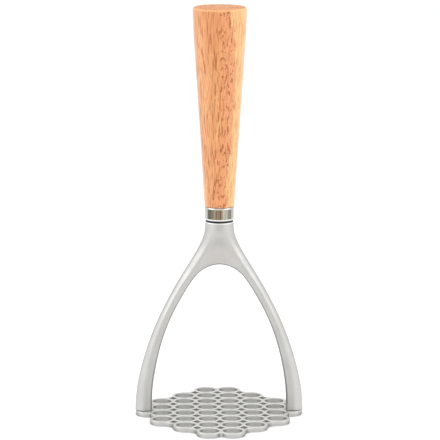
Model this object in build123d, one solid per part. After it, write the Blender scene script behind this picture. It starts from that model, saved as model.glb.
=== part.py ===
from build123d import *
import math
import os

# Potato masher: a turned wooden handle, a steel ferrule, a cast two-armed fork
# and a cast mashing plate full of round holes. Millimetres, +Z up. The origin is
# the middle of the plate's underside, and the arms of the fork spread along X.

# Mashing plate
plate_thickness = 3.2
hole_diameter = 11.4
hole_web = 2.47
column_holes = (8, 6, 4)
rim_web = 1.9
diamond_web = 2.0
diamond_corner_round = 0.3
notch_round = 1.4
plate_edge_round = 0.7
hole_edge_bevel = 0.45
diamond_edge_bevel = 0.35

# Lugs of the plate, on which the feet of the fork stand, and the web that carries them
lug_radius = 7.6
lug_setback = 0.25
lug_web_width = 10.0

# Fork
fork_height = 117.1
fork_spread = 102.1
foot_width = 10.1
arm_depth = 8.8
neck_diameter = 17.2
collar_height = 0.6
collar_setback = 0.25
window_edge_round = 1.3

# Shape of the fork at each level: share of its height, share of the spread from neck
# to foot, width of the arm as a share of the foot's, depth as a share of the way from
# arm to neck, and share of the way from the faceted arm to the round neck
level_shares = (
    (0.000, 1.000, 1.00, 0.00, 0.00),
    (0.100, 0.983, 0.95, 0.00, 0.00),
    (0.220, 0.921, 0.87, 0.00, 0.00),
    (0.360, 0.809, 0.77, 0.00, 0.00),
    (0.480, 0.681, 0.72, 0.00, 0.00),
    (0.580, 0.550, 0.73, 0.00, 0.00),
    (0.680, 0.402, 0.79, 0.02, 0.00),
    (0.735, 0.312, 0.91, 0.05, 0.02),
    (0.785, 0.228, 0.93, 0.11, 0.10),
    (0.835, 0.147, 0.90, 0.26, 0.28),
    (0.880, 0.079, 0.88, 0.49, 0.54),
    (0.920, 0.032, 0.88, 0.79, 0.82),
    (0.950, 0.009, 0.88, 0.95, 0.96),
    (0.975, 0.001, 0.88, 0.995, 1.00),
    (1.000, 0.000, 0.88, 1.00, 1.00),
)

# Height of the window's top, and the least share of height between it and the level
# below that still gives the window's side a point of its own
window_top_share = 0.781
window_side_share = 0.02

# A quarter of an arm's section, from its outer edge to its inner one: share of the
# arm's width inwards, share of its half depth forwards, and the share of a quarter
# turn at which the same point lies on the round neck
section_shares = (
    (0.00, 0.00, 0.00),
    (0.03, 0.28, 0.16),
    (0.14, 0.60, 0.34),
    (0.30, 0.86, 0.50),
    (0.44, 1.00, 0.61),
    (0.60, 0.97, 0.71),
    (1.00, 0.82, 0.85),
)
web_depth_share = 0.82

# Seal between the fork's neck and the ferrule
seal_thickness = 1.2
seal_recess = 0.35

# Ferrule
ferrule_step = 0.3
ferrule_height = 8.0
ferrule_wall = 0.8
ferrule_floor = 1.0
ferrule_bevel = 0.55

# Handle
handle_length = 120.5
handle_end_diameter = 32.3
handle_belly_diameter = 31.1
handle_belly_drop = 17.0
handle_end_round = 1.6
handle_foot_round = 0.4

# Stud that ties handle and fork together, and the insert in the handle that holds it
stud_diameter = 6.0
stud_depth_in_fork = 15.0
stud_depth_in_handle = 24.0
stud_bevel = 0.6
insert_diameter = 10.0
insert_length = 20.0
insert_bevel = 0.5

# Countersunk screws that hold the feet to the lugs from below
screw_diameter = 4.0
screw_head_diameter = 7.4
screw_head_angle = 90
screw_head_depth = 0.2
screw_depth_in_foot = 8.0
screw_bevel = 0.4
socket_width = 2.5
socket_depth = 1.4
socket_sides = 6

# Clearances
thread_gap = 0.1
slide_gap = 0.12
bore_spare = 1.5
overrun = 1.0

# Sizes that follow from those above
hole_radius = hole_diameter / 2
hole_pitch = hole_diameter + hole_web
ring_radius = hole_radius + rim_web
diamond_arc_radius = hole_radius + diamond_web
corner_arc_radius = hole_pitch - ring_radius
neck_radius = neck_diameter / 2
foot_reach = fork_spread / 2
arm_half_depth = arm_depth / 2
ferrule_diameter = neck_diameter + 2 * ferrule_step
ferrule_radius = ferrule_diameter / 2
stud_radius = stud_diameter / 2
insert_radius = insert_diameter / 2
screw_radius = screw_diameter / 2
screw_head_radius = screw_head_diameter / 2
tenon_radius = ferrule_radius - ferrule_wall - slide_gap
foot_centre = foot_reach - foot_width / 2
lug_centre = foot_reach - lug_setback - lug_radius

# Heights of the seats, from the plate upwards
fork_base = plate_thickness
seal_base = fork_base + fork_height
ferrule_base = seal_base + seal_thickness
tenon_base = ferrule_base + ferrule_floor
handle_base = ferrule_base + ferrule_height
handle_top = handle_base + handle_length
stud_top = tenon_base + stud_depth_in_handle


def post(radius, low, high):
    return Pos(0, 0, low) * extrude(Circle(radius), high - low)


def turned(*points):
    # A solid turned about the upright axis from points given as radius and height
    return revolve(Plane.XZ * make_face(Polyline(*points, close=True)), Axis.Z)


def hole_places():
    # Columns of holes from the middle outwards, as far as they fit between the lugs
    places = []
    for column, holes in enumerate(column_holes):
        x = (column + 1 / 2) * hole_pitch
        if x + ring_radius < lug_centre:
            for row in range(holes):
                y = (row - (holes - 1) / 2) * hole_pitch
                places += [(x, y), (-x, y)]
    return places


def diamond_places():
    # A diamond lies wherever three or four holes meet round one point of the grid.
    holes = [Vector(x, y) for x, y in hole_places()]
    columns = len(column_holes)
    rows = max(column_holes) // 2
    places = []
    for i in range(-columns, columns + 1):
        for j in range(-rows, rows + 1):
            point = Vector(i * hole_pitch, j * hole_pitch)
            around = [hole for hole in holes if (hole - point).length < hole_pitch]
            if len(around) > 2:
                places.append((point.X, point.Y))
    return places


def missing_places():
    # The places of the grid beside a diamond where the corners of the plate lack a hole
    step = hole_pitch / 2
    corners = [(x + i, y + j) for x, y in diamond_places() for i in (-step, step) for j in (-step, step)]
    holes = [Vector(x, y) for x, y in hole_places()]
    return [(x, y) for x, y in corners if all((hole - Vector(x, y)).length > step for hole in holes)]


def diamond():
    # Four arcs about the neighbouring holes, with softened corners
    square = Rectangle(hole_pitch, hole_pitch)
    corners = GridLocations(hole_pitch, hole_pitch, 2, 2)
    shape = square - corners * Circle(diamond_arc_radius)
    return fillet(shape.vertices(), diamond_corner_round)


def plate_outline():
    # Rings round the holes, squares round the diamonds that follow the missing holes in
    # an arc from ring to ring, and the two lugs on their web. The notches are rounded by
    # moving the outline out and back again.
    shape = Sketch() + Locations(*diamond_places()) * Rectangle(hole_pitch, hole_pitch)
    shape -= Locations(*missing_places()) * Circle(corner_arc_radius)
    shape += Locations(*hole_places()) * Circle(ring_radius)
    shape += Locations((-lug_centre, 0), (lug_centre, 0)) * Circle(lug_radius)
    shape += Rectangle(2 * lug_centre, lug_web_width)
    face = make_face(shape.faces()[0].outer_wire())
    return offset(offset(face, notch_round), -notch_round)


def flat_edges(solid):
    levels = solid.edges().group_by(Axis.Z)
    return levels[0] + levels[-1]


def mash_plate():
    plate = extrude(plate_outline(), plate_thickness)
    plate = fillet(flat_edges(plate), plate_edge_round)
    holes = Sketch() + Locations(*hole_places()) * Circle(hole_radius)
    plate -= extrude(holes, plate_thickness)
    rounds = flat_edges(plate).filter_by(GeomType.CIRCLE)
    rounds = rounds.filter_by(lambda edge: math.isclose(edge.radius, hole_radius))
    plate = chamfer(rounds, hole_edge_bevel)
    diamonds = Sketch() + Locations(*diamond_places()) * diamond()
    plate -= extrude(diamonds, plate_thickness)
    arcs = flat_edges(plate).filter_by(GeomType.CIRCLE)
    arcs = arcs.filter_by(lambda edge: any(
        math.isclose(edge.radius, radius) for radius in (diamond_arc_radius, diamond_corner_round)
    ))
    plate = chamfer(arcs, diamond_edge_bevel)
    for place in screw_places():
        plate -= place * screw_room()
    return plate


def screw_places():
    return [Pos(-foot_centre, 0, 0), Pos(foot_centre, 0, 0)]


def screw_shape(gap):
    head_radius = screw_head_radius + gap
    shank_radius = screw_radius + gap
    cone_height = (head_radius - shank_radius) / math.tan(math.radians(screw_head_angle / 2))
    tip = fork_base + screw_depth_in_foot
    return turned(
        (0, screw_head_depth),
        (head_radius, screw_head_depth),
        (shank_radius, screw_head_depth + cone_height),
        (shank_radius, tip - screw_bevel),
        (shank_radius - screw_bevel, tip),
        (0, tip),
    )


def screw_room():
    # What plate and foot leave open for a screw: its head, shank and spare depth
    room = screw_shape(slide_gap)
    room += post(screw_head_radius + slide_gap, -overrun, screw_head_depth)
    tip = fork_base + screw_depth_in_foot
    return room + post(screw_radius + slide_gap, fork_base, tip + bore_spare)


def plate_screw():
    socket = RegularPolygon(socket_width / 2, socket_sides, major_radius=False)
    return screw_shape(0) - Pos(0, 0, screw_head_depth) * extrude(socket, socket_depth)


def fork_half_width(spread_share):
    return neck_radius + spread_share * (foot_reach - neck_radius)


def fork_level(height_share):
    return fork_base + height_share * (fork_height - collar_height)


def fork_section(height_share, spread_share, width_share, depth_share, round_share):
    half_width = fork_half_width(spread_share)
    half_depth = arm_half_depth + depth_share * (neck_radius - arm_half_depth)
    quarter = []
    for inward_share, forward_share, turn_share in section_shares:
        turn = turn_share * math.pi / 2
        inward = inward_share * width_share * foot_width
        faceted = Vector(half_width - inward, forward_share * half_depth)
        rounded = Vector(half_width * math.cos(turn), half_depth * math.sin(turn))
        quarter.append(faceted * (1 - round_share) + rounded * round_share)
    middle_share = web_depth_share + round_share * (1 - web_depth_share)
    quarter.append(Vector(0, middle_share * half_depth))
    front = quarter + [Vector(-point.X, point.Y) for point in reversed(quarter[:-1])]
    back = [Vector(point.X, -point.Y) for point in reversed(front[1:-1])]
    face = make_face(Spline(*front, *back, periodic=True))
    return Pos(0, 0, fork_level(height_share)) * face


def window():
    # The space between the arms, cut straight through from front to back: the right
    # half and its mirror image
    side = []
    for height_share, spread_share, width_share, _, _ in level_shares:
        if height_share < window_top_share - window_side_share:
            inner = fork_half_width(spread_share) - width_share * foot_width
            side.append((inner, fork_level(height_share)))
    top = (0, fork_level(window_top_share))
    sill = fork_base - overrun
    arch = Spline(*side, top, tangents=[(0, 1), (-1, 0)])
    below = Polyline(top, (0, sill), (side[0][0], sill), side[0])
    face = make_face(Curve() + [arch, below])
    half = extrude(Plane.XZ.offset(-neck_diameter) * face, 2 * neck_diameter)
    return half + mirror(half, Plane.YZ)


def fork():
    body = loft([fork_section(*row) for row in level_shares])
    body -= window()
    # The window's walls meet the front and the back of the arms in long edges.
    wall_edges = body.faces().filter_by(GeomType.EXTRUSION).edges()
    rims = wall_edges.filter_by(lambda edge: edge.length > fork_height / 2)
    body = fillet(rims, window_edge_round)
    body += post(neck_radius - collar_setback, seal_base - collar_height, seal_base)
    body -= post(stud_radius + thread_gap, seal_base - stud_depth_in_fork - bore_spare, seal_base)
    for place in screw_places():
        body -= place * screw_room()
    return body


def sealing_ring():
    ring = post(neck_radius - seal_recess, seal_base, ferrule_base)
    return ring - post(stud_radius + thread_gap, seal_base, ferrule_base)


def ferrule():
    shell = chamfer(post(ferrule_radius, ferrule_base, handle_base).edges(), ferrule_bevel)
    shell -= post(ferrule_radius - ferrule_wall, tenon_base, handle_base)
    return shell - post(stud_radius + thread_gap, ferrule_base, tenon_base)


def handle():
    foot = (ferrule_radius, handle_base)
    belly = (handle_belly_diameter / 2, handle_top - handle_belly_drop)
    end = (handle_end_diameter / 2, handle_top)
    taper = Line(foot, belly)
    swell = TangentArc(belly, end, tangent=taper % 1)
    close = Polyline(end, (0, handle_top), (0, handle_base), foot)
    face = make_face(Curve() + [taper, swell, close])
    body = revolve(Plane.XZ * face, Axis.Z)
    body = fillet(body.edges().group_by(Axis.Z)[-1], handle_end_round)
    body = fillet(body.edges().group_by(Axis.Z)[0], handle_foot_round)
    body += post(tenon_radius, tenon_base, handle_base)
    body -= post(insert_radius + thread_gap, tenon_base, tenon_base + insert_length)
    return body - post(stud_radius + thread_gap, tenon_base, stud_top + bore_spare)


def threaded_insert():
    sleeve = chamfer(post(insert_radius, tenon_base, tenon_base + insert_length).edges(), insert_bevel)
    return sleeve - post(stud_radius + thread_gap, tenon_base, tenon_base + insert_length)


def tie_stud():
    return chamfer(post(stud_radius, seal_base - stud_depth_in_fork, stud_top).edges(), stud_bevel)


pieces = {
    "handle": handle(),
    "ferrule": ferrule(),
    "sealing_ring": sealing_ring(),
    "threaded_insert": threaded_insert(),
    "tie_stud": tie_stud(),
    "fork": fork(),
    "mash_plate": mash_plate(),
}
for side, place in zip(("left", "right"), screw_places()):
    pieces["plate_screw_" + side] = place * plate_screw()

os.makedirs("parts", exist_ok=True)
for name, solid in pieces.items():
    solid.label = name
    export_step(solid, "parts/" + name + ".step")
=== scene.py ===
import math

import bmesh
import bpy
import numpy as np
from mathutils import Matrix, Vector


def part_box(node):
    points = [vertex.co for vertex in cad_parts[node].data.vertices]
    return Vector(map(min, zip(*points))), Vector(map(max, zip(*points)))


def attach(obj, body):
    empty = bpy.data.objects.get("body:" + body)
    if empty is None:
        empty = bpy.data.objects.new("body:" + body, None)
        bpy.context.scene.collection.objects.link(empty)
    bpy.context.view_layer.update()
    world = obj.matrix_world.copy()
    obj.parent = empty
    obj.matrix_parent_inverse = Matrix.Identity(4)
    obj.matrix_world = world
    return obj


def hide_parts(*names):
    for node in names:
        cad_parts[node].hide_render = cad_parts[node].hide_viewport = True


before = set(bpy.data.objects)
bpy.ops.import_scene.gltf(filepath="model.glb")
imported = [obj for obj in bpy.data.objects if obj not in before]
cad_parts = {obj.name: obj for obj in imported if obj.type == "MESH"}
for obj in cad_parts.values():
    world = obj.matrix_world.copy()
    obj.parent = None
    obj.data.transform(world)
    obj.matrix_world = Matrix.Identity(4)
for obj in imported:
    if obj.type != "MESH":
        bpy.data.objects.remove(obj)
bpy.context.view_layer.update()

MM = 0.001
# Points nearer than the first length are one, and those within the second lie level
merge_distance = MM / 1000
level_spare = MM / 100

# Places that the pieces share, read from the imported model, in metres
_, plate_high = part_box("mash_plate")
fork_low, fork_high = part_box("fork")
seal_low, seal_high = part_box("sealing_ring")
ferrule_low, ferrule_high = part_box("ferrule")
handle_low, handle_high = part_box("handle")
_, insert_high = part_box("threaded_insert")
stud_low, stud_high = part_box("tie_stud")
stud_clearance = 0.1 * MM
bore_radius = stud_high.x + stud_clearance


# Modelling

def deselect_all():
    bpy.ops.object.select_all(action="DESELECT")


def edit(piece):
    deselect_all()
    piece.select_set(True)
    bpy.context.view_layer.objects.active = piece
    bpy.ops.object.mode_set(mode="EDIT")


def leave_edit():
    bpy.ops.object.mode_set(mode="OBJECT")


def named(name):
    # The object just added gets its name, with its place and size put into its mesh
    piece = bpy.context.object
    piece.name = piece.data.name = name
    bpy.ops.object.transform_apply(location=True, rotation=True, scale=True)
    return piece


def finished(piece, material, slot, angle, *nodes):
    # Shading by angle, finish, body and the node of the frame that the piece stands for
    deselect_all()
    piece.select_set(True)
    bpy.context.view_layer.objects.active = piece
    bpy.ops.object.shade_smooth_by_angle(angle=math.radians(angle))
    piece.data.materials.clear()
    piece.data.materials.append(material)
    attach(piece, "root")
    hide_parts(*nodes)


def turned(name, profile, sides):
    # Turned about the upright axis: a circle is pulled from each radius and height of the
    # profile to the next, and a radius of zero closes it at the axis.
    radius, height = profile[0]
    deselect_all()
    bpy.ops.mesh.primitive_circle_add(vertices=sides, radius=radius, location=(0, 0, height))
    piece = named(name)
    edit(piece)
    bpy.ops.mesh.select_all(action="SELECT")
    for next_radius, next_height in profile[1:]:
        rise = (0, 0, next_height - height)
        bpy.ops.mesh.extrude_region_move(TRANSFORM_OT_translate={"value": rise})
        if next_radius == 0:
            bpy.ops.mesh.merge(type="CENTER")
        else:
            growth = next_radius / radius
            centre = (0, 0, next_height)
            bpy.ops.transform.resize(value=(growth, growth, 1), center_override=centre)
        radius, height = next_radius, next_height
    bpy.ops.mesh.select_all(action="SELECT")
    bpy.ops.mesh.remove_doubles(threshold=merge_distance)
    bpy.ops.mesh.normals_make_consistent(inside=False)
    leave_edit()
    return piece


def corner(centre, radius, start, end, steps):
    # Points of a rounded corner in a profile, between two directions in degrees
    points = []
    for step in range(steps + 1):
        turn = math.radians(start + (end - start) * step / steps)
        points.append((centre[0] + radius * math.cos(turn), centre[1] + radius * math.sin(turn)))
    return points


# Smooth curves through given points, for the fork

def cubic(knots, values, first_slope, last_slope):
    # A curve through values at knots, with even curvature and the given end slopes
    knots = np.array(knots, float)
    values = np.array(values, float)
    count = len(knots)
    steps = np.diff(knots)
    rises = np.diff(values, axis=0)
    matrix = np.zeros((count, count))
    right = np.zeros_like(values)
    matrix[0, 0] = matrix[-1, -1] = 1
    right[0], right[-1] = first_slope, last_slope
    for i in range(1, count - 1):
        before, after = 1 / steps[i - 1], 1 / steps[i]
        matrix[i, i - 1: i + 2] = before, 2 * (before + after), after
        right[i] = 3 * (rises[i - 1] * before ** 2 + rises[i] * after ** 2)
    slopes = np.linalg.solve(matrix, right)

    def curve(knot):
        i = int(np.clip(np.searchsorted(knots, knot) - 1, 0, count - 2))
        step = steps[i]
        t = (knot - knots[i]) / step
        start, end = values[i], values[i + 1]
        bend = (1 - t) * (slopes[i] * step - rises[i]) - t * (slopes[i + 1] * step - rises[i])
        return start + t * (end - start) + t * (1 - t) * bend

    return curve


def along(points):
    # A curve through the points over the length along it, and the lengths at the points.
    # It starts straight towards the second coordinate and ends straight against the first.
    lengths = [np.linalg.norm(b - a) for a, b in zip(points, points[1:])]
    knots = np.concatenate(((0,), np.cumsum(lengths)))
    return cubic(knots, points, first_slope=(0, 1), last_slope=(-1, 0)), knots


# Fork

# Shape at each level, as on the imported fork: share of its height, share of the spread
# from neck to foot, width of the arm as a share of the foot's, depth as a share of the
# way from arm to neck, and share of the way from the faceted arm to the round neck
fork_level_shares = (
    (0.000, 1.000, 1.00, 0.00, 0.00),
    (0.100, 0.983, 0.95, 0.00, 0.00),
    (0.220, 0.921, 0.87, 0.00, 0.00),
    (0.360, 0.809, 0.77, 0.00, 0.00),
    (0.480, 0.681, 0.72, 0.00, 0.00),
    (0.580, 0.550, 0.73, 0.00, 0.00),
    (0.680, 0.402, 0.79, 0.02, 0.00),
    (0.735, 0.312, 0.91, 0.05, 0.02),
    (0.785, 0.228, 0.93, 0.11, 0.10),
    (0.835, 0.147, 0.90, 0.26, 0.28),
    (0.880, 0.079, 0.88, 0.49, 0.54),
    (0.920, 0.032, 0.88, 0.79, 0.82),
    (0.950, 0.009, 0.88, 0.95, 0.96),
    (0.975, 0.001, 0.88, 0.995, 1.00),
    (1.000, 0.000, 0.88, 1.00, 1.00),
)
# How fast the last four shares change at the feet. At the top they keep still.
fork_foot_slopes = (-0.09, -0.45, 0, 0)
fork_top_slopes = (0, 0, 0, 0)
# A quarter of an arm's section from its outer edge to its inner one: share of the arm's
# width inwards, share of its half depth forwards, and the share of a quarter turn at
# which the same point lies on the round neck
fork_section_shares = (
    (0.00, 0.00, 0.00),
    (0.03, 0.28, 0.16),
    (0.14, 0.60, 0.34),
    (0.30, 0.86, 0.50),
    (0.44, 1.00, 0.61),
    (0.60, 0.97, 0.71),
    (1.00, 0.82, 0.85),
)
web_depth_share = 0.82
window_top_share = 0.781
window_top_gap = 0.02
foot_width = 10.1 * MM
arm_depth = 8.8 * MM
collar_height = 0.6 * MM
collar_setback = 0.25 * MM
rim_round = 1.3 * MM
foot_bevel = 0.35 * MM
shoulder_turns = (30, 60, 90)
bore_spare = 0.5 * MM
screw_bore_radius = 2.1 * MM
drill_sides = 48

neck_radius = fork_high.y
foot_reach = fork_high.x

# The grid of faces of a quarter of the fork: its columns go from the outer edge over the
# ridge to the window's rim, and round it to the middle of the window's wall. Its rows
# lean up towards the outer edge, more so near the crotch. The window's direction is taken
# over a small share of its length, and a column's place is found by halving.
ridge_index = 4
front_columns = 20
ridge_columns = 12
round_columns = 5
wall_columns = 3
arm_rows = 70
neck_rows = 34
crotch_tilt = 10 * MM
tilt_power = 3
lean_power = 1.5
small_share = 0.001
halvings = 40

fork_levels = cubic(
    [row[0] for row in fork_level_shares],
    [row[1:] for row in fork_level_shares],
    first_slope=fork_foot_slopes,
    last_slope=fork_top_slopes,
)


def fork_height(share):
    return fork_low.z + share * (fork_high.z - collar_height - fork_low.z)


def fork_share(height):
    return (height - fork_low.z) / (fork_high.z - collar_height - fork_low.z)


def fork_section(height):
    # The front right quarter of the section at a height, from its outer edge to the middle
    # of the fork
    spread, width, depth, roundness = fork_levels(fork_share(height))
    half_width = neck_radius + spread * (foot_reach - neck_radius)
    half_depth = arm_depth / 2 + depth * (neck_radius - arm_depth / 2)
    points = []
    for inward, forward, turn in fork_section_shares:
        angle = turn * math.pi / 2
        faceted = np.array((half_width - inward * width * foot_width, forward * half_depth))
        rounded = np.array((half_width * math.cos(angle), half_depth * math.sin(angle)))
        points.append(faceted + roundness * (rounded - faceted))
    middle = web_depth_share + roundness * (1 - web_depth_share)
    points.append(np.array((0, middle * half_depth)))
    return along(points)


def window_edge():
    # The window's right side, from the foot up to the crotch
    points = []
    for row in fork_level_shares:
        if row[0] < window_top_share - window_top_gap:
            spread, width = row[1:3]
            inner = neck_radius + spread * (foot_reach - neck_radius) - width * foot_width
            points.append(np.array((inner, fork_height(row[0]))))
    points.append(np.array((0, fork_height(window_top_share))))
    return along(points)


def fork_point(height, inner_height, inner_x, column):
    # A point of the front between the outer edge at one height and a place further in at
    # another height. Columns up to the ridge keep their place in the section.
    share = column / front_columns
    own_height = height + (inner_height - height) * share ** lean_power
    curve, knots = fork_section(own_height)
    if column <= ridge_columns:
        return place_on(curve(knots[ridge_index] * column / ridge_columns), own_height)
    end_curve, end_knots = fork_section(inner_height)
    low, high = end_knots[ridge_index], end_knots[-1]
    for _ in range(halvings):
        middle = (low + high) / 2
        if end_curve(middle)[0] > inner_x:
            low = middle
        else:
            high = middle
    reach = (low - end_knots[ridge_index]) / (end_knots[-1] - end_knots[ridge_index])
    step = (column - ridge_columns) / (front_columns - ridge_columns)
    knot = knots[ridge_index] + step * reach * (knots[-1] - knots[ridge_index])
    return place_on(curve(knot), own_height)


def place_on(point, height):
    return Vector((point[0], -point[1], height))


def fork_row_places():
    # Rows of places, from the foot to the neck, of the quarter at the front right. The
    # rows of the arm also go round the window's rounded rim and half way along its wall.
    edge, knots = window_edge()
    length = knots[-1]
    rows = []
    for index in range(arm_rows + 1):
        share = index / arm_rows
        rim = edge(share * length)
        after = edge(min(share + small_share, 1) * length)
        before = edge(max(share - small_share, 0) * length)
        step = after - before
        out = np.array((step[1], -step[0])) / np.linalg.norm(step)
        inner = rim + rim_round * out
        inner_x = 0 if index == arm_rows else inner[0]
        height = inner[1] if index else fork_low.z
        tilt = crotch_tilt * share ** tilt_power
        row = [fork_point(height + tilt, height, inner_x, k) for k in range(front_columns + 1)]
        row[-1] = Vector((inner_x, row[-1].y, height))
        front = row[-1].y
        for turn_index in range(1, round_columns + 1):
            turn = turn_index / round_columns * math.pi / 2
            inside = inner - rim_round * math.sin(turn) * out
            depth = front + rim_round * (1 - math.cos(turn))
            row.append(Vector((inside[0], depth, inside[1] if index else fork_low.z)))
        for wall_index in range(1, wall_columns + 1):
            depth = (front + rim_round) * (1 - wall_index / wall_columns)
            row.append(Vector((row[-1].x, depth, row[-1].z)))
        rows.append(row)
    crotch = rows[-1]
    outer_start, inner_start = crotch[0].z, crotch[front_columns].z
    top = fork_height(1)
    for index in range(1, neck_rows + 1):
        share = index / neck_rows
        height = outer_start + share * (top - outer_start)
        inner_height = inner_start + share * (top - inner_start)
        rows.append([fork_point(height, inner_height, 0, k) for k in range(front_columns + 1)])
        rows[-1][-1].x = 0
    return rows


def make_fork():
    # A quarter of the fork as a grid of faces, mirrored to the left and to the back. Then
    # its ends are closed and its feet drilled.
    rows = fork_row_places()
    columns = len(rows[0])
    deselect_all()
    bpy.ops.mesh.primitive_grid_add(x_subdivisions=columns - 1, y_subdivisions=len(rows) - 1)
    piece = named("cast_fork")
    edit(piece)
    mesh = bmesh.from_edit_mesh(piece.data)
    mesh.verts.ensure_lookup_table()
    unused = []
    for index, vertex in enumerate(mesh.verts):
        row, column = divmod(index, columns)
        if column < len(rows[row]):
            vertex.co = rows[row][column]
        else:
            unused.append(vertex)
    bmesh.ops.delete(mesh, geom=unused, context="VERTS")
    bmesh.update_edit_mesh(piece.data)
    leave_edit()
    for axis in ((True, False, False), (False, True, False)):
        modifier = piece.modifiers.new("other_side", "MIRROR")
        modifier.use_axis = axis
        modifier.merge_threshold = merge_distance
        bpy.ops.object.modifier_apply(modifier=modifier.name)
    edit(piece)
    bpy.ops.mesh.select_all(action="SELECT")
    bpy.ops.mesh.remove_doubles(threshold=merge_distance)
    close_ends(piece)
    bpy.ops.mesh.select_all(action="SELECT")
    bpy.ops.mesh.normals_make_consistent(inside=False)
    leave_edit()
    drill_feet(piece)
    return piece


def close_ends(piece):
    # Flat feet with a narrow bevel, and a rounded shoulder at the top of the neck, with
    # the stud's bore in it
    foot_end = fork_low.z + level_spare
    for side in (-1, 1):
        select_edges(piece, lambda a, b: max(a.z, b.z) < foot_end and a.x * side > 0)
        bpy.ops.mesh.edge_face_add()
        bpy.ops.mesh.inset(thickness=foot_bevel)
        raise_foot_rim(piece, side)
    top = fork_height(1)
    bore_floor = stud_low.z - bore_spare
    steps = []
    for turn in map(math.radians, shoulder_turns):
        setback = collar_setback * (1 - math.cos(turn))
        steps.append((neck_radius - setback, top + collar_height * math.sin(turn)))
    steps += [(bore_radius, top + collar_height), (bore_radius, bore_floor)]
    select_edges(piece, lambda a, b: min(a.z, b.z) > top - level_spare)
    radius, height = neck_radius, top
    for next_radius, next_height in steps:
        rise = (0, 0, next_height - height)
        growth = next_radius / radius
        bpy.ops.mesh.extrude_region_move(TRANSFORM_OT_translate={"value": rise})
        bpy.ops.transform.resize(value=(growth, growth, 1), center_override=(0, 0, next_height))
        radius, height = next_radius, next_height
    bpy.ops.mesh.edge_face_add()


def raise_foot_rim(piece, side):
    # The rim round the inset face of a foot moves up, which leaves a bevel
    bpy.ops.mesh.select_mode(type="VERT")
    mesh = bmesh.from_edit_mesh(piece.data)
    for vertex in mesh.verts:
        on_foot = vertex.co.z < fork_low.z + level_spare and vertex.co.x * side > 0
        vertex.select = on_foot and not vertex.select
    mesh.select_flush_mode()
    bmesh.update_edit_mesh(piece.data)
    bpy.ops.transform.translate(value=(0, 0, foot_bevel))


def drill_feet(piece):
    # The screws' holes in the feet, cut with a cylinder at each screw
    for name in ("plate_screw_left", "plate_screw_right"):
        low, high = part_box(name)
        depth = high.z + bore_spare - fork_low.z
        deselect_all()
        bpy.ops.mesh.primitive_cylinder_add(
            vertices=drill_sides, radius=screw_bore_radius, depth=2 * depth,
            location=((low.x + high.x) / 2, 0, fork_low.z),
        )
        drill = named("drill")
        cut = piece.modifiers.new("drill", "BOOLEAN")
        cut.object = drill
        bpy.context.view_layer.objects.active = piece
        bpy.ops.object.modifier_apply(modifier=cut.name)
        bpy.data.objects.remove(drill)


def select_edges(piece, wanted):
    # Selects the open edges whose two ends are wanted
    bpy.ops.mesh.select_mode(type="EDGE")
    bpy.ops.mesh.select_all(action="DESELECT")
    mesh = bmesh.from_edit_mesh(piece.data)
    for edge in mesh.edges:
        if edge.is_boundary and wanted(*(vertex.co for vertex in edge.verts)):
            edge.select = True
    mesh.select_flush_mode()
    bmesh.update_edit_mesh(piece.data)


# Mashing plate

def make_plate():
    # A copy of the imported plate, with its loose triangles joined up
    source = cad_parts["mash_plate"]
    piece = source.copy()
    piece.data = source.data.copy()
    piece.parent = None
    piece.name = piece.data.name = "cast_plate"
    for key in list(piece.keys()):
        del piece[key]
    bpy.context.scene.collection.objects.link(piece)
    edit(piece)
    bpy.ops.mesh.select_all(action="SELECT")
    bpy.ops.mesh.remove_doubles(threshold=merge_distance)
    bpy.ops.mesh.customdata_custom_splitnormals_clear()
    leave_edit()
    return piece


# Ferrule, seal and handle

turned_sides = 128
quarter_steps = 6

ferrule_wall = 0.8 * MM
ferrule_floor = 1.0 * MM
ferrule_band = 0.95 * MM
band_setback = 0.5 * MM
band_groove = 0.1 * MM

seal_edge = 0.15 * MM

tenon_clearance = 0.12 * MM
drill_overrun = 1.5 * MM
belly_radius = 15.55 * MM
belly_drop = 17 * MM
handle_foot_round = 0.4 * MM
foot_round_steps = 4
handle_end_round = 1.6 * MM
end_round_steps = 8
handle_crown = 0.25 * MM
crown_rim_turn = 82
crown_shares = (0.75, 0.5, 0.25)
taper_rows = 24
swell_rows = 8


def make_ferrule():
    # A drawn cup with a bright rounded band at each end, parted from its wall by a groove
    radius = ferrule_high.x
    low, high = ferrule_low.z, ferrule_high.z
    inside = radius - ferrule_wall
    shoulder = radius - band_setback
    profile = [(bore_radius, low + ferrule_floor), (bore_radius, low), (shoulder, low)]
    profile += band_corner(radius, low + ferrule_band, -90, 0)
    profile += band_edge(radius, low + ferrule_band, 1)
    profile += band_edge(radius, high - ferrule_band, -1)[::-1]
    profile += band_corner(radius, high - ferrule_band, 0, 90)
    profile += [(inside, high), (inside, low + ferrule_floor), (bore_radius, low + ferrule_floor)]
    return turned("polished_ferrule", profile, turned_sides)


def band_corner(radius, height, start, end):
    # The rounded outside of a band: a quarter of an upright ellipse
    points = []
    for step in range(quarter_steps + 1):
        turn = math.radians(start + (end - start) * step / quarter_steps)
        points.append((
            radius - band_setback * (1 - math.cos(turn)),
            height + ferrule_band * math.sin(turn),
        ))
    return points[1:] if start else points[:-1]


def band_edge(radius, height, way):
    # The groove beside a band, from the band towards the middle of the ferrule
    return [
        (radius - band_groove, height + way * band_groove),
        (radius, height + way * 2 * band_groove),
    ]


def make_seal():
    # A ring with a narrow bevel on its two outer edges
    radius = seal_high.x
    low, high = seal_low.z, seal_high.z
    profile = [
        (bore_radius, high),
        (bore_radius, low),
        (radius - seal_edge, low),
        (radius, low + seal_edge),
        (radius, high - seal_edge),
        (radius - seal_edge, high),
        (bore_radius, high),
    ]
    return turned("rubber_seal", profile, turned_sides)


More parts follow.
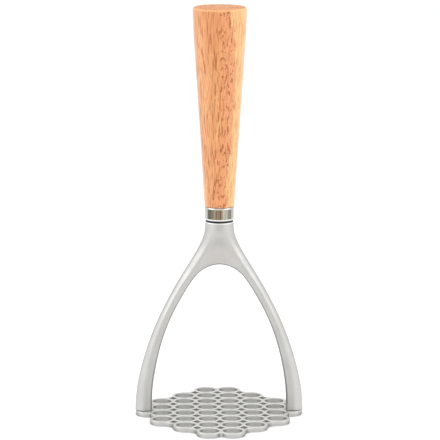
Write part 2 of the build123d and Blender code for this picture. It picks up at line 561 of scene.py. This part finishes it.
def make_handle():
    # From the bore's end down round the tenon, up the taper and over the crowned end. The
    # bore's blind end is closed last.
    foot_radius, foot = ferrule_high.x, ferrule_high.z
    end_radius, top = handle_high.x, handle_high.z
    belly = top - belly_drop
    bore_end = stud_high.z + drill_overrun
    insert_radius = insert_high.x + stud_clearance
    tenon_radius = ferrule_high.x - ferrule_wall - tenon_clearance
    profile = [
        (bore_radius, bore_end),
        (bore_radius, insert_high.z),
        (insert_radius, insert_high.z),
        (insert_radius, handle_low.z),
        (tenon_radius, handle_low.z),
        (tenon_radius, foot),
    ]
    foot_centre = (foot_radius - handle_foot_round, foot + handle_foot_round)
    profile += corner(foot_centre, handle_foot_round, -90, 0, foot_round_steps)
    start = foot + handle_foot_round
    slope = (belly_radius - foot_radius) / (belly - start)
    for row in range(1, taper_rows + 1):
        rise = row / taper_rows * (belly - start)
        profile.append((foot_radius + slope * rise, start + rise))
    # Past its straight taper the handle swells a little more towards its end
    swell = top - handle_end_round - handle_crown - belly
    missing = end_radius - belly_radius - slope * swell
    for row in range(1, swell_rows):
        share = row / swell_rows
        radius = belly_radius + slope * share * swell + missing * share ** 2
        profile.append((radius, belly + share * swell))
    end_centre = (end_radius - handle_end_round, top - handle_end_round - handle_crown)
    profile += corner(end_centre, handle_end_round, 0, crown_rim_turn, end_round_steps)
    for share in crown_shares:
        profile.append((end_radius * share, top - handle_crown * share ** 2))
    profile.append((0, top))
    piece = turned("wooden_handle", profile, turned_sides)
    edit(piece)
    select_edges(piece, lambda a, b: True)
    bpy.ops.mesh.edge_face_add()
    bpy.ops.mesh.select_all(action="SELECT")
    bpy.ops.mesh.normals_make_consistent(inside=False)
    leave_edit()
    return piece


# Materials

# A mark's seed moves its pattern by these shares along the three axes
seed_steps = (1, 1.7, 2.3)


def linear(hex_colour):
    # An sRGB colour as six hex digits, turned to the linear values that shaders use
    channels = [int(hex_colour[i: i + 2], 16) / 255 for i in (0, 2, 4)]
    flat = [c / 12.92 if c <= 0.04045 else ((c + 0.055) / 1.055) ** 2.4 for c in channels]
    return (*flat, 1)


def add(tree, kind, inputs=(), **settings):
    # Adds a node with its settings and gives its outputs. An input is a value, or the
    # output that feeds it.
    made = tree.nodes.new(kind)
    for name, value in settings.items():
        setattr(made, name, value)
    for name, value in dict(inputs).items():
        if isinstance(value, bpy.types.NodeSocket):
            tree.links.new(value, made.inputs[name])
        else:
            made.inputs[name].default_value = value
    return made.outputs


def maths(tree, operation, *values):
    # One step of arithmetic on values or outputs
    return add(tree, "ShaderNodeMath", dict(enumerate(values)), operation=operation)[0]


def new_material(name):
    # An empty material, with the place on the piece in millimetres
    material = bpy.data.materials.new(name)
    material.use_nodes = True
    tree = material.node_tree
    tree.nodes.clear()
    place = add(tree, "ShaderNodeTexCoord")["Object"]
    to_mm = (1 / MM, 1 / MM, 1 / MM)
    place = add(tree, "ShaderNodeMapping", {"Vector": place, "Scale": to_mm})["Vector"]
    return material, tree, place


def band(tree, value, start, end, amount=1.0):
    # Rises softly from 0 to the amount as the value goes from start to end
    return add(tree, "ShaderNodeMapRange", {
        "Value": value, "From Min": start, "From Max": end, "To Max": amount,
    }, interpolation_type="SMOOTHSTEP")["Result"]


def between(tree, share, low, high):
    # Goes evenly from low to high as the share goes from 0 to 1
    return add(tree, "ShaderNodeMapRange", {
        "Value": share, "To Min": low, "To Max": high,
    })["Result"]


def marks(tree, place, size, low, high, amount=1.0, detail=2.0, seed=0.0):
    # Soft-edged marks of about the given size in mm: the amount on them, 0 between them.
    # Low and high are the levels of the noise at which a mark starts and is full.
    cells = add(tree, "ShaderNodeMapping", {
        "Vector": place,
        "Scale": tuple(1 / length for length in size),
        "Location": tuple(step * seed for step in seed_steps),
    })["Vector"]
    noise = add(tree, "ShaderNodeTexNoise", {"Vector": cells, "Scale": 1, "Detail": detail})["Fac"]
    return band(tree, noise, low, high, amount)


def stripe(tree, value, centre, half_width, amount):
    # A soft stripe where the value is near its centre
    away = maths(tree, "ABSOLUTE", maths(tree, "SUBTRACT", value, centre))
    return band(tree, away, half_width, 0, amount)


def coated(tree, ground, coats):
    # Colours laid over a ground one after the other, each with its own mask
    colour = linear(ground)
    for mask, over in coats:
        colour = add(tree, "ShaderNodeMix", {
            0: mask, 6: colour, 7: linear(over),
        }, data_type="RGBA")[2]
    return colour


def bumped(tree, height, strength, distance, invert=False):
    # Fine relief: heights from 0 to 1 stand for the distance
    return add(tree, "ShaderNodeBump", {
        "Height": height, "Strength": strength, "Distance": distance,
    }, invert=invert)["Normal"]


def shaded(tree, inputs):
    shader = add(tree, "ShaderNodeBsdfPrincipled", inputs)["BSDF"]
    add(tree, "ShaderNodeOutputMaterial", {"Surface": shader})


def make_oiled_beech():
    # Steamed beech, turned and rubbed with oil: thin dark streaks along the grain, a belt
    # of darker wood, a strip of short flecks where the rays are cut across, and an evener
    # and yellower side. Pores are 0.1 mm wide in real beech, and drawn four times as wide.
    material, tree, place = new_material("oiled_turned_beech")
    x, _, z = add(tree, "ShaderNodeSeparateXYZ", {"Vector": place}).values()
    foot, collar, top = handle_low.z / MM, ferrule_high.z / MM, handle_high.z / MM

    # The places of belt, strip and even side, in mm across the handle. All wander, and the
    # strip and the even side drift to the right further up.
    drift = add(tree, "ShaderNodeMapRange", {
        "Value": z, "From Min": foot + 8, "From Max": foot + 42, "To Min": -1.5, "To Max": 3.2,
    }, interpolation_type="SMOOTHSTEP")["Result"]
    waves = marks(tree, place, size=(6, 6, 22), low=0.3, high=0.7)
    wander = between(tree, waves, low=-2, high=2)
    zone = maths(tree, "ADD", maths(tree, "SUBTRACT", x, drift), wander)
    even = band(tree, zone, start=3.5, end=6)
    uneven = band(tree, zone, start=6, end=3.5)
    flecked = maths(tree, "MULTIPLY", band(tree, zone, start=-4.5, end=-2.5), uneven)
    sparse = maths(tree, "MAXIMUM", band(tree, zone, start=0, end=-3), 0.3)
    strayed = maths(tree, "ADD", x, wander)
    belt = stripe(tree, strayed, centre=-4.8, half_width=3.2, amount=0.55)
    belt = maths(tree, "MULTIPLY", belt, band(tree, z, start=foot + 25, end=foot + 60))

    # The marks of the grain, longer than they are wide
    broad = marks(tree, place, size=(2.6, 8, 60), low=0.42, high=0.66, amount=0.6, seed=3)
    rosy = marks(tree, place, size=(7, 7, 30), low=0.45, high=0.65, amount=0.5, seed=11)
    long_streaks = marks(
        tree, place, size=(0.6, 0.6, 44), low=0.53, high=0.65, amount=0.85, detail=1.6, seed=5
    )
    fine_streaks = marks(
        tree, place, size=(0.6, 0.6, 12), low=0.48, high=0.64, amount=0.6, seed=17
    )
    pores = marks(tree, place, size=(0.4, 0.4, 2.5), low=0.55, high=0.7, amount=0.35, seed=29)
    dashes = marks(
        tree, place, size=(1.3, 1.3, 2.7), low=0.55, high=0.63, amount=0.85, detail=2.5, seed=23
    )
    rings = marks(
        tree, place, size=(0.9, 7, 200), low=0.5, high=0.62, amount=0.6, detail=3, seed=37
    )
    long_streaks = maths(tree, "MULTIPLY", long_streaks, sparse)
    dashes = maths(tree, "MULTIPLY", dashes, flecked)

    # The end face is darker, with year rings, and its rounded edge carries a painted
    # highlight. A little shade lies in the joint at the ferrule.
    end_grain = band(tree, z, start=top - 0.7, end=top - 0.35)
    end_rings = maths(tree, "MULTIPLY", rings, end_grain)
    edge_highlight = band(tree, z, start=top - 2.2, end=top - 1.2, amount=0.5)
    joint = band(tree, z, start=collar + 0.7, end=collar + 0.2, amount=0.7)
    colour = coated(tree, "F5B57A", (
        (broad, "E69E60"),
        (rosy, "E79262"),
        (flecked, "EFA36E"),
        (even, "F8C585"),
        (belt, "D78852"),
        (fine_streaks, "CC7F44"),
        (pores, "BC7038"),
        (long_streaks, "A85B25"),
        (dashes, "A85A28"),
        (edge_highlight, "FFCE9E"),
        (end_grain, "E3985A"),
        (end_rings, "B86A3C"),
        (joint, "8F5B34"),
    ))
    relief = maths(tree, "ADD", long_streaks, pores)
    # The side keeps a film of oil, which mirrors the white surround at a low angle. The
    # end grain soaks it up.
    film = band(tree, z, start=top - 1.6, end=top - 2.4, amount=0.8)
    shaded(tree, {
        "Base Color": colour,
        "Roughness": between(tree, relief, low=0.42, high=0.6),
        "Normal": bumped(tree, relief, strength=0.4, distance=0.05 * MM, invert=True),
        "IOR": 1.5,
        "Specular IOR Level": 0.3,
        "Coat Weight": film,
        "Coat Roughness": 0.25,
    })
    return material


def make_cast_aluminium(name, highlight_from, highlight_to, highlight_colour, inward_shade_amount):
    # Aluminium cast in a die and blasted with fine beads: an even satin grey with a faint
    # sparkle and slight clouds, painted shade on faces that look inwards or down and in
    # recesses, painted light on the walls of tight holes, and a painted highlight between two
    # heights, which on the plate also stands for rubbing by use. The beads' dents are 0.1 mm,
    # drawn as 0.4 mm.
    material, tree, place = new_material(name)
    x, _, z = add(tree, "ShaderNodeSeparateXYZ", {"Vector": place}).values()
    facing = add(tree, "ShaderNodeTexCoord")["Normal"]
    across, _, up = add(tree, "ShaderNodeSeparateXYZ", {"Vector": facing}).values()

    # Painted shade on faces that look to the middle or down
    outward = maths(tree, "MULTIPLY", across, maths(tree, "SIGN", x))
    outward = maths(tree, "MINIMUM", outward, up)
    inward_shade = band(tree, outward, start=-0.15, end=-0.6, amount=inward_shade_amount)

    # Painted shade in recesses, deeper on walls in them that look to a side, and painted
    # light that keeps paler the walls of holes too narrow for much light
    openness = add(tree, "ShaderNodeAmbientOcclusion", {"Distance": 8 * MM})["AO"]
    recess_shade = band(tree, openness, start=0.8, end=0.4, amount=0.25)
    sideways = maths(tree, "ABSOLUTE", across)
    sideways = band(tree, sideways, start=0.5, end=0.9, amount=0.55)
    closed = band(tree, openness, start=0.75, end=0.5)
    side_wall_shade = maths(tree, "MULTIPLY", sideways, closed)
    narrow = band(tree, openness, start=0.45, end=0.3)

    # Painted highlight between two heights, only where the surface lies open
    bright = band(tree, z, start=highlight_from / MM, end=highlight_to / MM)
    bright = maths(tree, "MULTIPLY", bright, band(tree, openness, start=0.5, end=0.8))
    clouds = marks(tree, place, size=(9, 9, 14), low=0.35, high=0.65, amount=0.8)
    warm = marks(tree, place, size=(16, 16, 20), low=0.4, high=0.6, amount=0.5, seed=7)
    dents = marks(tree, place, size=(0.4, 0.4, 0.4), low=0.3, high=0.7, detail=1, seed=13)
    speckle = marks(tree, place, size=(0.7, 0.7, 0.7), low=0.55, high=0.75, amount=0.25, seed=19)
    colour = coated(tree, "C6C6C3", (
        (clouds, "C1C1BF"),
        (warm, "C7C3BF"),
        (speckle, "ADADAA"),
        (inward_shade, "868683"),
        (recess_shade, "6C6C69"),
        (side_wall_shade, "555552"),
        (narrow, "CCCCC8"),
        (bright, highlight_colour),
    ))
    shaded(tree, {
        "Base Color": colour,
        "Metallic": 1,
        "Roughness": between(tree, clouds, low=0.44, high=0.5),
        "Normal": bumped(tree, dents, strength=0.35, distance=0.02 * MM),
        "Specular Tint": linear("E4E4E4"),
    })
    return material


# Painted reflections on the ferrule from its left edge to its right one, as shares of its
# radius: each colour takes over from the one before between two places
painted_reflection_zones = (
    (-0.86, -0.76, "54564E"),
    (-0.70, -0.46, "7B7160"),
    (-0.46, -0.34, "A59683"),
    (-0.34, -0.20, "D2C3AF"),
    (0.08, 0.20, "E2DDD2"),
    (0.24, 0.34, "BDB8AB"),
    (0.46, 0.62, "8A8680"),
    (0.70, 0.90, "E4E4E0"),
)
# Thin dark brownish lines of painted reflection, at these shares of its radius
dark_reflection_places = (-0.25, 0.06)
# The painted highlights on the end bands start, and are full, at these distances from its ends in
# mm
band_start = 1.15
band_full = 1.0


def make_polished_steel():
    # Stainless tube, drawn and polished along its length: upright streaks over painted
    # reflections in upright zones, with thin dark brownish lines among them, between two end
    # bands with painted highlights
    material, tree, place = new_material("lengthwise_polished_stainless_steel_painted_reflections")
    x, _, z = add(tree, "ShaderNodeSeparateXYZ", {"Vector": place}).values()
    low, high = ferrule_low.z / MM, ferrule_high.z / MM
    side = maths(tree, "DIVIDE", x, ferrule_high.x / MM)
    lines = marks(tree, place, size=(0.8, 0.8, 60), low=0.46, high=0.6, amount=0.6, seed=5)
    hairs = marks(tree, place, size=(0.25, 0.25, 30), low=0.4, high=0.6, amount=0.3, seed=9)
    # Painted reflections in upright zones across the ferrule
    coats = [(band(tree, side, start, end), colour) for start, end, colour in painted_reflection_zones]
    for centre in dark_reflection_places:
        coats.append((stripe(tree, side, centre, half_width=0.06, amount=0.6), "5E5140"))
    coats += [
        (lines, "6A6152"),
        (hairs, "857F70"),
        # Painted highlights on the bands at both ends
        (band(tree, z, high - band_start, high - band_full), "CFCFCB"),
        (band(tree, z, low + band_start, low + band_full), "E2E2E0"),
    ]
    shaded(tree, {
        "Base Color": coated(tree, "F4F4F2", coats),
        "Metallic": 1,
        "Roughness": between(tree, lines, low=0.16, high=0.3),
        "Normal": bumped(tree, hairs, strength=0.2, distance=0.01 * MM),
    })
    return material


def make_black_rubber():
    # Nitrile rubber, moulded: nearly black, with a dull skin and a little dust
    material, tree, place = new_material("moulded_nitrile_rubber")
    dust = marks(tree, place, size=(0.8, 0.8, 0.4), low=0.5, high=0.7, amount=0.5)
    shaded(tree, {
        "Base Color": coated(tree, "0E0E0C", ((dust, "1C1B18"),)),
        "Roughness": 0.6,
        "IOR": 1.5,
        "Normal": bumped(tree, dust, strength=0.2, distance=0.02 * MM),
    })
    return material


def make_turned_metal(name, ground, worn, roughness):
    # Metal turned on a lathe: fine rings round the piece, 0.2 mm apart, and a soft sheen
    material, tree, place = new_material(name)
    rings = marks(tree, place, size=(60, 60, 0.2), low=0.4, high=0.6, seed=3)
    clouds = marks(tree, place, size=(3, 3, 3), low=0.4, high=0.65, amount=0.6, seed=7)
    shaded(tree, {
        "Base Color": coated(tree, ground, ((clouds, worn),)),
        "Metallic": 1,
        "Roughness": between(tree, clouds, low=roughness, high=roughness + 0.1),
        "Normal": bumped(tree, rings, strength=0.3, distance=0.02 * MM),
    })
    return material


# Making

shoulder_base = fork_high.z - collar_height
# On the fork the painted highlight is a thin line at the foot of the shoulder
fork_aluminium = make_cast_aluminium(
    "bead_blasted_cast_aluminium",
    highlight_from=shoulder_base - 0.1 * MM,
    highlight_to=shoulder_base + 0.05 * MM,
    highlight_colour="E8E8E6",
    inward_shade_amount=0.75,
)
# On the plate the painted highlight lies along the tops of the webs and edges, which are also
# rubbed by use
plate_aluminium = make_cast_aluminium(
    "bead_blasted_cast_aluminium_rubbed_painted_highlight",
    highlight_from=plate_high.z - 0.3 * MM,
    highlight_to=plate_high.z - 0.05 * MM,
    highlight_colour="DEDEDB",
    inward_shade_amount=0,
)
fastener_steel = make_turned_metal(
    "turned_stainless_steel", ground="B4B4B1", worn="A3A3A0", roughness=0.28
)
turned_brass = make_turned_metal("turned_brass", ground="C9A050", worn="B58C42", roughness=0.25)

# Each piece with its finish, slot, angle of shading in degrees and node of the frame
finished(make_handle(), make_oiled_beech(), "handle_wood", 35, "handle")
finished(make_ferrule(), make_polished_steel(), "ferrule_steel", 20, "ferrule")
finished(make_seal(), make_black_rubber(), "seal_rubber", 35, "sealing_ring")
finished(make_fork(), fork_aluminium, "cast_metal", 40, "fork")
finished(make_plate(), plate_aluminium, "cast_metal", 25, "mash_plate")
for name, material in (
    ("tie_stud", fastener_steel),
    ("plate_screw_left", fastener_steel),
    ("plate_screw_right", fastener_steel),
    ("threaded_insert", turned_brass),
):
    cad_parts[name].data.materials.clear()
    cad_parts[name].data.materials.append(material)


# Floor, light and camera

white = (1, 1, 1, 1)
floor_size = 24
floor_colour = "F0F0F0"
floor_lift = 0.24
surround_level = 0.88

# The darker stretch of the floor that metal mirrors: its middle and sizes in mm
table_end = -850
table_end_width = 700
table_end_length = 900
table_end_blur = 20
table_end_colour = "A89A86"

# Each softbox with its place and size in metres and its power in watts
lamp_target = Vector((0, 0, 0.12))
softboxes = (
    ("left_softbox", (-1.25, -0.4, 0.8), (1.3, 1.2), 5.8),
    ("right_softbox", (1.2, -0.55, 0.8), (1.3, 1.2), 5.3),
    ("top_softbox", (0, -0.9, 1.7), (1.2, 0.8), 2.5),
)


def seen(tree):
    # 1 for what the camera sees, directly or in metal and glass, and 0 for other light
    path = add(tree, "ShaderNodeLightPath")
    either = maths(tree, "MAXIMUM", path["Is Camera Ray"], path["Is Glossy Ray"])
    return maths(tree, "MAXIMUM", either, path["Is Transmission Ray"])


def make_floor():
    # White paper, lifted to pure white where no shadow falls on it. Metal mirrors a stretch
    # of it in front, out of the picture, as darker, as it mirrors the end of the white
    # table in the photograph.
    deselect_all()
    bpy.ops.mesh.primitive_plane_add(size=floor_size, location=(0, 0, 0))
    floor = named("floor")
    material, tree, place = new_material("white_paper")
    x, y, _ = add(tree, "ShaderNodeSeparateXYZ", {"Vector": place}).values()
    mirrored = add(tree, "ShaderNodeLightPath")["Is Glossy Ray"]
    for value, middle, size in ((x, 0, table_end_width), (y, table_end, table_end_length)):
        away = maths(tree, "ABSOLUTE", maths(tree, "SUBTRACT", value, middle))
        inside = band(tree, away, start=size / 2 + table_end_blur, end=size / 2)
        mirrored = maths(tree, "MULTIPLY", mirrored, inside)
    colour = coated(tree, floor_colour, ((mirrored, table_end_colour),))
    lifted = maths(tree, "SUBTRACT", seen(tree), mirrored)
    lift = maths(tree, "MULTIPLY", lifted, floor_lift)
    matt = add(tree, "ShaderNodeBsdfDiffuse", {"Color": colour})["BSDF"]
    glow = add(tree, "ShaderNodeEmission", {"Color": white, "Strength": lift})["Emission"]
    both = add(tree, "ShaderNodeAddShader", {0: matt, 1: glow})["Shader"]
    add(tree, "ShaderNodeOutputMaterial", {"Surface": both})
    floor.data.materials.append(material)


def make_world():
    # A white surround that lights matt surfaces at a lower level than it is seen at
    world = bpy.data.worlds.new("white_surround")
    bpy.context.scene.world = world
    world.use_nodes = True
    tree = world.node_tree
    tree.nodes.clear()
    strength = between(tree, seen(tree), low=surround_level, high=1)
    sky = add(tree, "ShaderNodeBackground", {"Color": white, "Strength": strength})["Background"]
    add(tree, "ShaderNodeOutputWorld", {"Surface": sky})


def add_softbox(name, place, size, power):
    data = bpy.data.lights.new(name, "AREA")
    data.shape = "RECTANGLE"
    data.size, data.size_y = size
    data.energy = power
    lamp = bpy.data.objects.new(name, data)
    lamp.location = place
    aim = lamp_target - Vector(place)
    lamp.rotation_euler = aim.to_track_quat("-Z", "Y").to_euler()
    bpy.context.scene.collection.objects.link(lamp)


# The camera's place was worked out from the photograph: the plate's grid of holes, the
# ring round the neck and the handle's axis.
camera_distance = 1.5621
camera_elevation = math.radians(10.782)
camera_azimuth = math.radians(-1.471)
camera_roll = math.radians(0.126)
camera_focal_pixels = 2591.3
camera_shift_pixels = (-0.59, 1.52)
camera_target = Vector((0, 0, 0.120))
photo_pixels = 440
sensor_width = 36


def make_camera():
    data = bpy.data.cameras.new("camera")
    camera = bpy.data.objects.new("camera", data)
    bpy.context.scene.collection.objects.link(camera)
    level = math.cos(camera_elevation)
    back = Vector((
        math.sin(camera_azimuth) * level,
        -math.cos(camera_azimuth) * level,
        math.sin(camera_elevation),
    ))
    right = Vector((math.cos(camera_azimuth), math.sin(camera_azimuth), 0))
    up = back.cross(right)
    turn = Matrix((right, up, back)).transposed() @ Matrix.Rotation(camera_roll, 3, "Z")
    camera.location = camera_target + camera_distance * back
    camera.rotation_euler = turn.to_euler()
    data.sensor_width = sensor_width
    data.lens = camera_focal_pixels / photo_pixels * sensor_width
    data.shift_x = -camera_shift_pixels[0] / photo_pixels
    data.shift_y = camera_shift_pixels[1] / photo_pixels
    bpy.context.scene.camera = camera


make_floor()
make_world()
for name, place, size, power in softboxes:
    add_softbox(name, place, size, power)
make_camera()
bpy.context.scene.view_settings.view_transform = "Standard"
